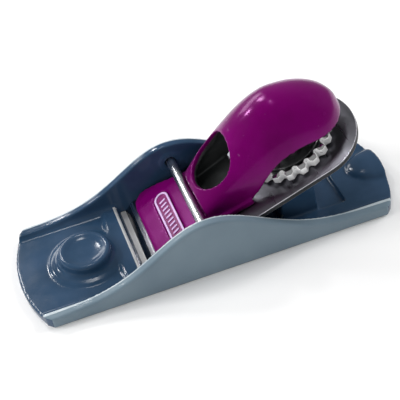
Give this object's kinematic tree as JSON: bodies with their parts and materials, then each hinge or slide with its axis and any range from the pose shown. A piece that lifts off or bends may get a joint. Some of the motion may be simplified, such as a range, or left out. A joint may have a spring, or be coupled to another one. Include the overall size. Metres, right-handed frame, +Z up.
{
  "type": "hand plane",
  "caption": "Small block plane: humped iron body with a finger rest, bevelled cutter on a low bed, lever cap with a hollow palm hood, and a knurled clamp wheel.",
  "frame": {"origin": "middle of the sole's footprint, on the sole plane", "axes": "+X towards the toe, the way the plane is pushed; +Y towards the plane's left side; +Z up from the sole"},
  "size_m": [0.14, 0.0488, 0.0507],
  "materials": {
    "body_paint": "dark blue-grey gloss paint over a grey iron casting",
    "pin_steel": "bright drawn steel",
    "cutter_steel": "ground tool steel, brighter on the bevel",
    "cap_paint": "maroon gloss paint over a die casting",
    "badge_paint": "pale lilac inlay with a plain raised border",
    "wheel_plating": "bright nickel plate",
    "stud_steel": "plain turned steel"
  },
  "bodies": {
    "body": {"body_casting": "body_paint", "cross_pin": "pin_steel"},
    "cutter": {"cutter": "cutter_steel"},
    "lever_cap": {"lever_cap": "cap_paint", "cap_badge": "badge_paint"},
    "clamp_stud": {"clamp_stud": "stud_steel"},
    "clamp_wheel": {"clamp_wheel": "wheel_plating"}
  },
  "joints": [
    {"name": "cutter_slide", "type": "slide", "parent": "body", "child": "cutter", "axis": [0.9397, 0, -0.342], "range_m": [-0.012, 0.0015]},
    {"name": "lever_cap_slide", "type": "slide", "parent": "body", "child": "lever_cap", "axis": [-0.9397, 0, 0.342], "range_m": [0, 0.024]},
    {"name": "clamp_stud_travel", "type": "slide", "parent": "lever_cap", "child": "clamp_stud", "axis": [0.342, 0, 0.9397], "range_m": [0, 0.00125]},
    {"name": "clamp_wheel_turn", "type": "hinge", "parent": "clamp_stud", "child": "clamp_wheel", "pos_m": [-0.0341, 0, 0.02716], "axis": [0.342, 0, 0.9397], "range_deg": [0, 360]}
  ],
  "couplings": [
    {"joint": "clamp_stud_travel", "follows": "clamp_wheel_turn", "m_per_rad": 0.00019894}
  ]
}
